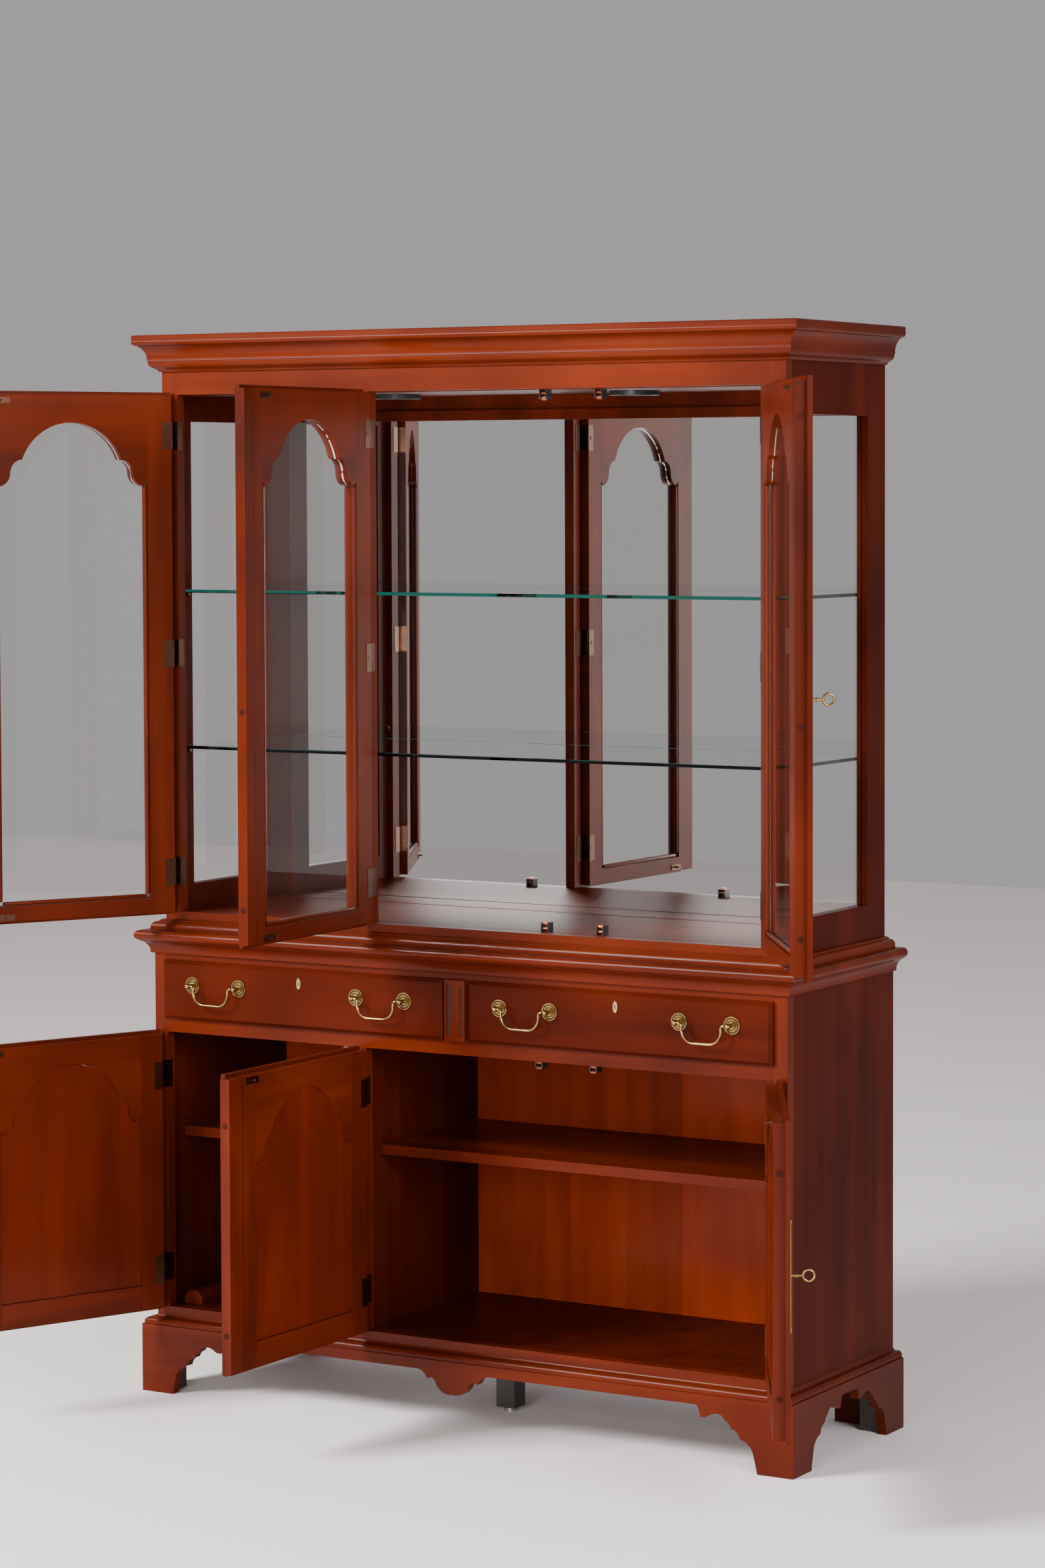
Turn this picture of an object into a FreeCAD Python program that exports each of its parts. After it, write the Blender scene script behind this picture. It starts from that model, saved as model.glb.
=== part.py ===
"""China cabinet with glass doors: a glazed display case on a base with two drawers and three doors."""
import FreeCAD
import Part
import os
import re
from FreeCAD import Placement, Rotation, Vector

doc = FreeCAD.newDocument("china_cabinet")

# ---------------------------------------------------------------- driving sizes, mm
# Depths are measured back from the face of the base. The origin is on the floor below the centre leg.
SIZES = [
    ("leg_setback", 178.0), ("total_height", 1950.0),
    ("base_half", 657.5), ("base_depth", 406.6), ("base_foot", 143.7), ("base_head", 813.3),
    ("base_stile", 631.0), ("base_floor", 158.0), ("base_rail", 669.5),
    ("base_mull_left", -217.8), ("base_mull_right", -193.0), ("face_thick", 22.0),
    ("side_thick", 20.0), ("back_front", 394.0), ("shelf_top", 486.0), ("shelf_thick", 18.0),
    ("drawer_low", 700.5), ("drawer_high", 797.5), ("drawer_out", 627.0),
    ("drawer_in_left", -30.0), ("drawer_in_right", 33.0),
    ("plinth_over", 21.0), ("plinth_top", 125.4), ("plinth_thick", 18.0), ("apron_low", 107.0),
    ("top_low", 839.0), ("top_high", 857.0), ("top_flat_over", 14.0),
    ("hutch_half", 645.3), ("hutch_front", 18.9), ("hutch_back", 396.4),
    ("hutch_foot", 875.9), ("hutch_head", 1883.5), ("post_edge", 612.0),
    ("hutch_low", 890.8), ("hutch_rail", 1841.6),
    ("mull_left", -210.6), ("mull_right", -190.6), ("hutch_inner", 622.0),
    ("deck_top", 891.0), ("mirror_top", 1795.0), ("mirror_front", 388.0), ("ceiling_low", 1840.0),
    ("pane_front", 75.0), ("pane_rear", 327.0), ("pane_low", 937.0), ("pane_high", 1793.0),
    ("bead", 14.0), ("glass_thick", 4.0), ("plate_shelf", 6.0), ("plate_low", 1196.0),
    ("plate_high", 1484.0), ("leg_width", 38.0), ("glide_radius", 13.0), ("glide_height", 8.0),
    ("pin_in", 9.5), ("pin_front", 4.5), ("gap", 2.2), ("layer_front", 8.5), ("layer_back", 19.0),
    ("lip", 8.0), ("lip_clearance", 0.6),
]
VALUE = dict(SIZES)
sheet = doc.addObject("Spreadsheet::Sheet", "Sizes")
for row, (alias, value) in enumerate(SIZES, 1):
    sheet.set(f"A{row}", alias)
    sheet.set(f"B{row}", str(value))
    sheet.setAlias(f"B{row}", alias)
doc.recompute()

NAMES = re.compile(r"[a-z][a-z_]+[a-z]")
nodes = []


def linked(text):
    """Turn a size written with sheet names into a property expression."""
    return NAMES.sub(lambda found: "Sizes." + found.group(0), str(text))


def board(x, y, z, world=True):
    """A block between two limits on each axis; depths move to the cabinet's origin when world is set."""
    box = doc.addObject("Part::Box", "Board")
    for side, (low, high) in zip(("Length", "Width", "Height"), (x, y, z)):
        box.setExpression(side, linked(f"({high}) - ({low})"))
    shift = " - leg_setback" if world else ""
    box.setExpression("Placement.Base.x", linked(x[0]))
    box.setExpression("Placement.Base.y", linked(f"{y[0]}{shift}"))
    box.setExpression("Placement.Base.z", linked(z[0]))
    return box


def rod(centre, axis, radius, length):
    """A round bar starting at centre and running along axis."""
    bar = doc.addObject("Part::Cylinder", "Rod")
    bar.Radius = radius
    bar.Height = length
    bar.Placement = Placement(Vector(*centre), Rotation(Vector(0, 0, 1), Vector(*axis)))
    return bar


def ball(centre, radius):
    """A sphere about centre."""
    sphere = doc.addObject("Part::Sphere", "Ball")
    sphere.Radius = radius
    sphere.Placement.Base = Vector(*centre)
    return sphere


def solid(shape, name="Piece"):
    """A piece whose outline has curves that no primitive gives."""
    piece = doc.addObject("Part::Feature", name)
    piece.Shape = shape
    return piece


def cut(base, *tools):
    """One piece with others taken out of it."""
    for tool in tools:
        result = doc.addObject("Part::Cut", "Cut")
        result.Base = base
        result.Tool = tool
        base = result
    return base


def node(label, pieces, placement=None):
    """Gather pieces into one named sub-part."""
    group = doc.addObject("Part::Compound", label)
    group.Label = label
    group.Links = pieces
    if placement is not None:
        group.Placement = placement
    nodes.append(group)
    return group


def depth(value):
    """A depth from the face of the base as a distance from the origin."""
    return value - VALUE["leg_setback"]


def outline(points, at, run, plane):
    """Extrude an outline. A point is (a, b), or (a, b, mid_a, mid_b) for an arc arriving through a middle."""
    place = {"xz": lambda a, b: Vector(a, at, b), "yz": lambda a, b: Vector(at, a, b),
             "xy": lambda a, b: Vector(a, b, at)}[plane]
    edges = []
    last = points[-1][:2]
    for point in points:
        here = point[:2]
        if len(point) == 4:
            edges.append(Part.Arc(place(*last), place(*point[2:]), place(*here)).toShape())
        else:
            edges.append(Part.makeLine(place(*last), place(*here)))
        last = here
    direction = {"xz": Vector(0, run, 0), "yz": Vector(run, 0, 0), "xy": Vector(0, 0, run)}[plane]
    return Part.Face(Part.Wire(edges)).extrude(direction)


def mitred(profile, half, front, back):
    """Run a moulding round the front and both sides of a case, mitred at the two front corners."""
    reach = max(point[0] for point in profile) + 5
    low = min(point[1] for point in profile) - 5
    tall = max(point[1] for point in profile) + 5 - low
    far = 4 * half
    corner = [Vector(-far, -far, low), Vector(far, far, low), Vector(-far, far, low), Vector(-far, -far, low)]
    wedge = Part.Face(Part.makePolygon(corner)).extrude(Vector(0, 0, tall))
    front_points = [(depth(front) - p[0], p[1]) + ((depth(front) - p[2], p[3]) if len(p) == 4 else ())
                    for p in profile]
    front_run = outline(front_points, -half - reach, 2 * (half + reach), "yz")
    left = wedge.copy()
    left.translate(Vector(-half, depth(front), 0))
    right = left.mirror(Vector(0, 0, 0), Vector(1, 0, 0))
    runs = [front_run.cut(left).cut(right)]
    side_points = [(-half - p[0], p[1]) + ((-half - p[2], p[3]) if len(p) == 4 else ()) for p in profile]
    start = depth(front) - reach
    side = outline(side_points, start, depth(back) - start, "xz").common(left)
    runs += [side, side.mirror(Vector(0, 0, 0), Vector(1, 0, 0))]
    return [solid(run, "Moulding") for run in runs]


def capsule_bar(path, radius):
    """A round bar following straight and curved edges."""
    wire = Part.Wire(path)
    start = path[0].valueAt(path[0].FirstParameter)
    ring = Part.Wire(Part.makeCircle(radius, start, path[0].tangentAt(path[0].FirstParameter)))
    return wire.makePipeShell([ring], True, True)


# ---------------------------------------------------------------- feet and plinth
half_leg = "leg_width / 2"
node("centre_leg", [board((f"-{half_leg}", half_leg),
                          (f"leg_setback - {half_leg}", f"leg_setback + {half_leg}"),
                          ("glide_height", "base_foot"))])
node("leg_glide", [rod((0, 0, 0), (0, 0, 1), VALUE["glide_radius"], VALUE["glide_height"])])

plinth_x = VALUE["base_half"] + VALUE["plinth_over"]
plinth_y = -VALUE["plinth_over"]
thick = VALUE["plinth_thick"]
inner_x = plinth_x - thick
top = VALUE["plinth_top"]
apron_low = VALUE["apron_low"]
blocks = []
for side in (-1, 1):
    for y_low in (plinth_y + thick, VALUE["base_depth"] - thick - 40):
        x_pair = sorted((side * inner_x, side * (inner_x - 40)))
        blocks.append(board(x_pair, (y_low, y_low + 40), (2, top)))
node("foot_blocks", blocks)

drop = [(-146, top), (-146, apron_low), (-80, apron_low), (-52, 91, -62, 103), (-46, 94), (-34, 84, -38, 91),
        (0, 67.5, -20, 70), (34, 84, 20, 70), (46, 94, 38, 91), (52, 91), (80, apron_low, 62, 103),
        (146, apron_low), (146, top)]
apron_pieces = [solid(outline(drop, depth(plinth_y), thick, "xz"), "Drop")]
for x_pair in ((-480, -146), (146, 480)):
    apron_pieces.append(board(x_pair, (plinth_y, plinth_y + thick), ("apron_low", "plinth_top")))
node("apron", apron_pieces)

# bracket foot, from its outer corner: (distance in, height)
BRACKET = [(0, 0), (68.5, 0), (77.5, 38, 73, 20), (101.5, 56, 88, 51), (118.5, 73, 108, 68),
           (130.5, 85, 123, 81), (143.5, 95, 136, 92), (164.5, 89, 155, 94), (178.5, 87, 171, 86.5),
           (186, apron_low, 181, 98), (198.5, apron_low), (198.5, top), (0, top)]
brackets = []
front_left = [(-plinth_x + p[0], p[1]) + ((-plinth_x + p[2], p[3]) if len(p) == 4 else ()) for p in BRACKET]
foot = outline(front_left, depth(plinth_y), thick, "xz")
brackets += [foot, foot.mirror(Vector(0, 0, 0), Vector(1, 0, 0))]
rear_y = VALUE["base_depth"]
side_foot = [(plinth_y + p[0], p[1]) + ((plinth_y + p[2], p[3]) if len(p) == 4 else ()) for p in BRACKET]
side_foot = [tuple(v if i % 2 else depth(v) for i, v in enumerate(p)) for p in side_foot]
side_piece = outline(side_foot, -plinth_x, thick, "yz").cut(
    Part.makeBox(60, thick, 300, Vector(-plinth_x - 20, depth(plinth_y), -50)))
middle = depth((plinth_y + rear_y) / 2)
rear_piece = outline(side_foot, -plinth_x, thick, "yz").mirror(Vector(0, middle, 0), Vector(0, 1, 0))
link = Part.makeBox(thick, rear_y - plinth_y - 2 * 198.5, top - apron_low,
                    Vector(-plinth_x, depth(plinth_y) + 198.5, apron_low))
for piece in (side_piece, rear_piece, link):
    brackets += [piece, piece.mirror(Vector(0, 0, 0), Vector(1, 0, 0))]
rear_board = Part.makeBox(110, thick, top - 1, Vector(-inner_x, depth(rear_y - thick), 0))
brackets += [rear_board, rear_board.mirror(Vector(0, 0, 0), Vector(1, 0, 0))]
node("bracket_feet", [solid(shape, "Foot") for shape in brackets])

foot_z = VALUE["base_foot"]
node("base_moulding", mitred([(-60, foot_z), (0, foot_z), (8, 137, 2, 138.5), (17.7, 130.5, 15, 135.5),
                              (17.7, 125.4), (-60, 125.4)],
                             VALUE["base_half"], 0, rear_y))

# ---------------------------------------------------------------- base case
case = []
for x_pair in (("-base_half", "-(base_half - side_thick)"), ("base_half - side_thick", "base_half")):
    case.append(board(x_pair, ("face_thick", "base_depth"), ("base_foot", "base_head")))
inner = ("-(base_half - side_thick)", "base_half - side_thick")
case.append(board(inner, ("face_thick", "back_front"), ("base_foot", "base_floor")))
case.append(board((-218, -202), ("face_thick", "back_front"), ("base_floor", 688)))
node("base_case", case)
node("base_back", [board(inner, ("back_front", "back_front + 6"), ("base_foot", "base_head"))])
face = ("0", "face_thick")
node("base_frame", [
    board(("-base_half", "-base_stile"), face, ("base_foot", "base_head")),
    board(("base_stile", "base_half"), face, ("base_foot", "base_head")),
    board(("-base_stile", "base_stile"), face, ("base_foot", "base_floor")),
    board(("-base_stile", "base_stile"), face, ("base_rail", "drawer_low")),
    board(("-base_stile", "base_stile"), face, ("drawer_high", "base_head")),
    board(("base_mull_left", "base_mull_right"), face, ("base_floor", "base_rail")),
    board(("drawer_in_left", "drawer_in_right"), face, ("drawer_low", "drawer_high")),
    board(("-base_stile", "-drawer_out"), face, ("drawer_low", "drawer_high")),
    board(("drawer_out", "base_stile"), face, ("drawer_low", "drawer_high")),
])

FLUTE_X = (-12, 14)
FLUTE_LOW = 706
FLUTE_HIGH = 792
FLUTE_R = 3.4
block = board((-20, 22), (-10, 0), (695, 803))
flutes = []
for x in FLUTE_X:
    flutes.append(rod((x, depth(-9.6), FLUTE_LOW), (0, 0, 1), FLUTE_R, FLUTE_HIGH - FLUTE_LOW))
    flutes.append(ball((x, depth(-9.6), FLUTE_LOW), FLUTE_R))
    flutes.append(ball((x, depth(-9.6), FLUTE_HIGH), FLUTE_R))
node("flute_block", [cut(block, *flutes)])

node("drawer_runners", [
    board((x, x + 22), ("face_thick", "back_front"), (688, "drawer_low"))
    for x in (-637.5, -52, 33, 615.5)])
node("base_top", [
    board(("-base_half", "base_half"), ("0", "base_depth"), ("base_head", "top_low")),
    board(("-(base_half + top_flat_over)", "base_half + top_flat_over"), ("-top_flat_over", "base_depth"),
          ("top_low", "top_high")),
] + mitred([(14, 839), (19.3, 839), (28.3, 848, 25.66, 841.64), (19.3, 857, 25.66, 854.36), (14, 857)],
           VALUE["base_half"], 0, VALUE["base_depth"]))
shelf = ("shelf_top - shelf_thick", "shelf_top")
node("base_shelves", [board((-636.5, -219), (60, "back_front - 1"), shelf),
                      board((-201, 636.5), (60, "back_front - 1"), shelf)])
pins = []
PIN_R = 3.0
pin_z = VALUE["shelf_top"] - VALUE["shelf_thick"] - PIN_R
for x, way in ((-637.5, 1), (-218, -1), (-202, 1), (637.5, -1)):
    for y in (80, 345):
        pins.append(rod((x, depth(y), pin_z), (way, 0, 0), PIN_R, 10))
rail = [(-625, 158), (-585, 158), (-585, 170), (-596, 183), (-614, 183), (-625, 170)]
node("loose_rail", [solid(outline(rail, depth(40), 340, "xz"), "Rail")])

# ---------------------------------------------------------------- waist
node("waist_moulding",
     mitred([(0, 813.3), (6, 815), (21, 838, 10.5, 830.5), (21, 839), (0, 839)],
            VALUE["base_half"], 0, VALUE["base_depth"])
     + mitred([(0, 857), (21, 857), (21, 863), (9, 872, 17.5, 869.5), (9, 873.5), (0, 875.9, 6.4, 875.2)],
              VALUE["hutch_half"], VALUE["hutch_front"], VALUE["hutch_back"]))

# ---------------------------------------------------------------- display case
groove = rod((-600, depth(338), VALUE["deck_top"] + 3), (1, 0, 0), 5, 1200)
node("deck", [
    board(("-hutch_half", "hutch_half"), ("hutch_front", "hutch_back"), ("top_high", "hutch_foot")),
    cut(board(("-hutch_inner", "hutch_inner"), ("hutch_front + face_thick", "mirror_front + 4"),
              ("hutch_foot", "deck_top")), groove),
])
face = ("hutch_front", "hutch_front + face_thick")
node("upper_frame", [
    board(("-hutch_half", "-post_edge"), face, ("hutch_foot", "hutch_head")),
    board(("post_edge", "hutch_half"), face, ("hutch_foot", "hutch_head")),
    board(("-post_edge", "post_edge"), face, ("hutch_foot", "hutch_low")),
    board(("-post_edge", "post_edge"), face, ("hutch_rail", "hutch_head")),
    board(("mull_left", "mull_right"), face, ("hutch_low", "hutch_rail")),
])


def across(side, low, high):
    """Limits on the right of the cabinet, or the same mirrored to its left."""
    return (low, high) if side > 0 else (f"-({high})", f"-({low})")


frames = []
panes = []
for side in (-1, 1):
    full = across(side, "hutch_inner", "hutch_half")
    frames += [
        board(full, ("hutch_front + face_thick", "pane_front - bead"), ("hutch_foot", "hutch_head")),
        board(full, ("pane_rear + bead", "hutch_back"), ("hutch_foot", "hutch_head")),
        board(full, ("pane_front - bead", "pane_rear + bead"), ("hutch_foot", "pane_low - bead")),
        board(full, ("pane_front - bead", "pane_rear + bead"), ("pane_high + bead", "hutch_head")),
    ]
    for layer in (across(side, "hutch_inner", "hutch_inner + 7.7"),
                  across(side, "hutch_inner + 12.3", "hutch_half")):
        tall = ("pane_low - bead", "pane_high + bead")
        frames += [
            board(layer, ("pane_front - bead", "pane_front"), tall),
            board(layer, ("pane_rear", "pane_rear + bead"), tall),
            board(layer, ("pane_front", "pane_rear"), ("pane_low - bead", "pane_low")),
            board(layer, ("pane_front", "pane_rear"), ("pane_high", "pane_high + bead")),
        ]
    panes.append(board(across(side, "hutch_inner + 8", "hutch_inner + 8 + glass_thick"),
                       ("pane_front - bead + 1", "pane_rear + bead - 1"),
                       ("pane_low - bead + 1", "pane_high + bead - 1")))
node("side_frames", frames)
node("side_glass", panes)
node("mirror", [board(("-(hutch_inner - 0.5)", "hutch_inner - 0.5"), ("mirror_front", "mirror_front + 4"),
                      ("deck_top", "mirror_top"))])
node("upper_back", [
    board(("-hutch_inner", "hutch_inner"), ("mirror_front + 4", "hutch_back"), ("hutch_foot", "hutch_head")),
    board(("-hutch_inner", "hutch_inner"), ("mirror_front - 5", "mirror_front + 4"),
          ("mirror_top", "mirror_top + 19")),
])
node("ceiling", [board(("-hutch_inner", "hutch_inner"), ("hutch_front + face_thick", "mirror_front + 4"),
                       ("ceiling_low", "ceiling_low + 16"))])
head = VALUE["hutch_head"]
peak = VALUE["total_height"]
CROWN = [(-40, head), (4, head), (9, peak - 61, 5, peak - 64.5), (12.8, peak - 59),
         (18.4, peak - 48, 17.2, peak - 54.5), (20, peak - 47), (31.6, peak - 20, 22.8, peak - 30),
         (31.6, peak - 19), (40, peak - 11, 38, peak - 17.5), (40, peak - 2), (38, peak), (-40, peak)]
node("crown", mitred(CROWN, VALUE["hutch_half"], VALUE["hutch_front"], VALUE["hutch_back"]) + [
    board(("-(hutch_half - 40)", "hutch_half - 40"), ("hutch_front + 40", "hutch_back"),
          ("hutch_head", "hutch_head + 10")),
])
node("glass_shelves", [
    board((-616, 616), (45, 385), (f"{level} - plate_shelf", level)) for level in ("plate_low", "plate_high")])
for level in ("plate_low", "plate_high"):
    for x, way in ((-VALUE["hutch_inner"], 1), (VALUE["hutch_inner"], -1)):
        for y in (54, 368):
            pins.append(rod((x, depth(y), VALUE[level] - VALUE["plate_shelf"] - PIN_R), (way, 0, 0), PIN_R, 10))
node("shelf_pins", pins)
PUCK_X = (-250, 250)
PUCK_Y = 200
low = VALUE["ceiling_low"] - 8
node("puck_rings", [cut(rod((x, depth(PUCK_Y), low), (0, 0, 1), 45, 8),
                        rod((x, depth(PUCK_Y), low - 1), (0, 0, 1), 34, 10)) for x in PUCK_X])
node("puck_lenses", [rod((x, depth(PUCK_Y), low + 2), (0, 0, 1), 33.7, 6) for x in PUCK_X])

# ---------------------------------------------------------------- roller catches
ROLLER_R = 4.0
catch_pieces = []
roller_pieces = []
CATCHES = [(150, 52, "ceiling_low", -1), (262, 52, "ceiling_low", -1), (-276, 52, "ceiling_low", -1),
           (150, 52, "deck_top", 1), (262, 52, "deck_top", 1), (-276, 52, "deck_top", 1)]
for x, y, level, way in CATCHES:
    z = VALUE[level]
    for shift in (-6.5, 6.5):
        pair = sorted((z, z + way * 16))
        catch_pieces.append(board((x + shift - 1, x + shift + 1), (y, y + 18), pair))
    for lift in (4.5, 13.7):
        roller_pieces.append(rod((x - 5.3, depth(y + 7), z + way * lift), (1, 0, 0), ROLLER_R, 10.6))
for x in (152, 262, -255):
    for shift in (-6.5, 6.5):
        catch_pieces.append(board((x + shift - 1, x + shift + 1), (28, 46), (653.5, "base_rail - 2")))
    catch_pieces.append(board((x - 12, x + 12), (18, 46), ("base_rail - 2", "base_rail")))
    for lift in (6.3, 15.5):
        roller_pieces.append(rod((x - 5.3, depth(33), VALUE["base_rail"] - lift), (1, 0, 0), ROLLER_R, 10.6))
node("catches", catch_pieces)
node("catch_rollers", roller_pieces)

# ---------------------------------------------------------------- doors
LEAF = 0.8
BARREL_R = 2.5
HINGE_TALL = 50.0
# The two layers of a door meet just in front of the face of the case. Depths are measured from the hinge pin.
LAYERS_MEET = VALUE["pin_front"] - VALUE["gap"]
FRONT_Y = (LAYERS_MEET - VALUE["layer_front"], LAYERS_MEET)
BACK_Y = (LAYERS_MEET, LAYERS_MEET + VALUE["layer_back"])
EDGE = VALUE["pin_in"] + VALUE["gap"]
WIDE_OVERLAP = 10.0                  # a free edge that passes its case by more than this laps another door

UPPER = {"low": 893.0, "high": 1839.4, "stile": 46.0, "free": 54.0, "rail": 921.0,
         "spring": 1722.0, "crest": 1789.0, "reach": 96.5, "tip": 1674.0, "hinges": (1766, 1368, 966),
         "strikes": (1828.5, 901), "face": VALUE["hutch_front"]}
LOWER = {"low": 160.2, "high": 667.3, "stile": 45.0, "free": 76.0, "rail": 205.0,
         "spring": 560.0, "crest": 628.0, "reach": 99.6, "tip": 510.0, "hinges": (591, 233),
         "strikes": (658.6,), "face": 0.0}
# name, kind, hinge side (1 opens from the left edge), pin x, width, open angle, overlap at the free edge
DOORS = [
    ("door_left", UPPER, 1, -621.5, 397.0, 119.0, 4.3),
    ("door_centre", UPPER, 1, -200.1, 398.1, 88.6, -14.0),
    ("door_right", UPPER, -1, 621.5, 398.1, 125.5, 13.0),
    ("cupboard_left", LOWER, 1, -640.5, 408.8, 114.0, 8.0),
    ("cupboard_centre", LOWER, 1, -202.5, 408.8, 91.0, -14.0),
    ("cupboard_right", LOWER, -1, 640.5, 408.8, 119.5, 13.0),
]
KEYS = {"door_right": (1333.5, (1247, 1416)), "cupboard_right": (422.7, (331, 513))}


def local(hand, low, high):
    """Limits along a door, measured from its pin, for either hand."""
    return (low, high) if hand > 0 else (-high, -low)


def arch_curve(kind, middle, half, fit=0.0):
    """The shaped head of a door opening from left to right: tip, ogee, step, arch and back; fit draws it in."""
    spread = kind["reach"] - fit
    half = half - fit
    spring = kind["spring"] - fit
    tip = kind["tip"] - fit
    step = spread + 4
    run = half - 8 - step
    drop = spring - tip
    bend = (step + 0.47 * run, spring - 0.54 * drop)
    upper_mid = (step + 0.34 * run, spring - 0.19 * drop)
    lower_mid = (step + 0.63 * run, spring - 0.84 * drop)
    return [(middle - half, tip + 8), (middle - half + 8, tip),
            (middle - bend[0], bend[1], middle - lower_mid[0], lower_mid[1]),
            (middle - step, spring, middle - upper_mid[0], upper_mid[1]),
            (middle - spread, spring),
            (middle + spread, spring, middle, kind["crest"] - fit),
            (middle + step, spring),
            (middle + bend[0], bend[1], middle + upper_mid[0], upper_mid[1]),
            (middle + half - 8, tip, middle + lower_mid[0], lower_mid[1]),
            (middle + half, tip + 8)]


def handed(points, hand):
    """Mirror an outline for a door hung on its right edge."""
    if hand > 0:
        return points
    return [tuple(-v if i % 2 == 0 else v for i, v in enumerate(p)) for p in points]


def arch_board(kind, hand, width, over, y_pair):
    """The top rail of a door, arched below; over is how far it passes the back layer's edges."""
    left = EDGE + kind["stile"]
    right = EDGE + width - kind["free"]
    high = kind["high"] + over
    points = [(left, high)] + arch_curve(kind, (left + right) / 2, (right - left) / 2) + [(right, high)]
    return solid(outline(handed(points, hand), y_pair[0], y_pair[1] - y_pair[0], "xz"), "Arch")


for name, kind, hand, pin_x, width, angle, meet in DOORS:
    turn = -angle if hand > 0 else angle
    place = Placement(Vector(pin_x, depth(kind["face"] - VALUE["pin_front"]), 0),
                      Rotation(Vector(0, 0, 1), turn))
    end = EDGE + width
    left = EDGE + kind["stile"]
    right = end - kind["free"]
    key = KEYS.get(name)
    tall_back = (kind["low"], kind["high"])
    tall_front = (kind["low"] - 6, kind["high"] + 6)
    laps_door = meet > WIDE_OVERLAP
    free_front = board(local(hand, right, end if laps_door else end + meet), FRONT_Y, tall_front, False)
    cover = []
    if laps_door:
        cover_y = (FRONT_Y[0], FRONT_Y[1] - VALUE["lip_clearance"])
        cover.append(board(local(hand, end, end + meet), cover_y, tall_front, False))
    free_back = board(local(hand, right, end), BACK_Y, tall_back, False)
    if key:
        key_x = hand * (end - 13)
        bore = rod((key_x, FRONT_Y[0] - 1, key[0]), (0, 1, 0), 2.6, 14)
        free_front = cut(free_front, bore)
        bore_back = rod((key_x, FRONT_Y[0] - 1, key[0]), (0, 1, 0), 2.6, 14)
        free_back = cut(free_back, bore_back)
    node(name + "_frame", [
        board(local(hand, EDGE - VALUE["lip"], left), FRONT_Y, tall_front, False),
        board(local(hand, EDGE, left), BACK_Y, tall_back, False),
        free_front, free_back, *cover,
        board(local(hand, left, right), FRONT_Y, (kind["low"] - 6, kind["rail"]), False),
        board(local(hand, left, right), BACK_Y, (kind["low"], kind["rail"]), False),
        arch_board(kind, hand, width, 6, FRONT_Y),
        arch_board(kind, hand, width, 0, (BACK_Y[0], BACK_Y[1])),
    ], place)

    # infill: a pane behind the arch, or a solid panel, let into a shallow rebate on the inner face
    fill_y = (8.0, 12.0) if kind is UPPER else (4.5, 18.0)
    fit = 0.6
    pane = ([(left + fit, kind["rail"] + fit)] + arch_curve(kind, (left + right) / 2, (right - left) / 2, fit)
            + [(right - fit, kind["rail"] + fit)])
    fill = solid(outline(handed(pane, hand), fill_y[0], fill_y[1] - fill_y[0], "xz"), "Infill")
    node(name + ("_glass" if kind is UPPER else "_panel"), [fill], place)

    # door half of the hinges, strikes and, on the locking doors, the escutcheon
    metal = []
    for z in kind["hinges"]:
        low, high = z - HINGE_TALL / 2, z + HINGE_TALL / 2
        metal.append(rod((0, 0, z - 8), (0, 0, 1), BARREL_R, 16))
        metal.append(board(local(hand, 1.0, EDGE), (FRONT_Y[1] + 0.1, FRONT_Y[1] + 0.1 + LEAF), (z - 8, z + 8),
                           False))
        metal.append(board(local(hand, EDGE - LEAF, EDGE), (FRONT_Y[1] + LEAF + 0.1, BACK_Y[1]), (low, high),
                           False))
        metal.append(board(local(hand, EDGE - LEAF, EDGE + 16), (BACK_Y[1], BACK_Y[1] + LEAF), (low, high),
                           False))
        metal.append(rod((hand * (EDGE + 9), BACK_Y[1] + LEAF, z), (0, 1, 0), 3.0, 0.7))
    for z in kind["strikes"]:
        d_low, d_high = EDGE + width - 84, EDGE + width - 48
        metal.append(board(local(hand, d_low, d_high), (BACK_Y[1], BACK_Y[1] + 1.2), (z - 5.5, z + 5.5), False))
        centre = hand * (d_low + d_high) / 2
        metal.append(rod((centre, BACK_Y[1] + 1.2, z), (0, 1, 0), 2.0, 7))
    node(name + "_fittings", metal, place)
    if key:
        z, (low, high) = key
        plate = board((key_x - 11, key_x + 11), (FRONT_Y[0] - 1.6, FRONT_Y[0]), (low, high), False)
        bore = rod((key_x, FRONT_Y[0] - 3, z), (0, 1, 0), 2.6, 5)
        node(name + "_escutcheon", [cut(plate, bore)], place)
        shaft = rod((key_x, FRONT_Y[0] - 19, z), (0, 1, 0), 2.2, 26)
        bow = doc.addObject("Part::Torus", "Bow")
        bow.Radius1 = 9
        bow.Radius2 = 2
        bow.Placement = Placement(Vector(key_x, FRONT_Y[0] - 29.5, z),
                                  Rotation(Vector(0, 0, 1), Vector(1, 0, 0)))
        collar = rod((key_x, FRONT_Y[0] - 12, z), (0, 1, 0), 3.6, 3)
        stem = doc.addObject("Part::MultiFuse", "Key")
        stem.Shapes = [shaft, bow, collar]
        node("key_" + name.split("_")[0], [stem], place)

# ---------------------------------------------------------------- fixed half of the hinges


def span(hand, pin_x, low, high):
    """World limits measured from a hinge pin towards its door."""
    return tuple(sorted((pin_x + hand * low, pin_x + hand * high)))


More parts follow.
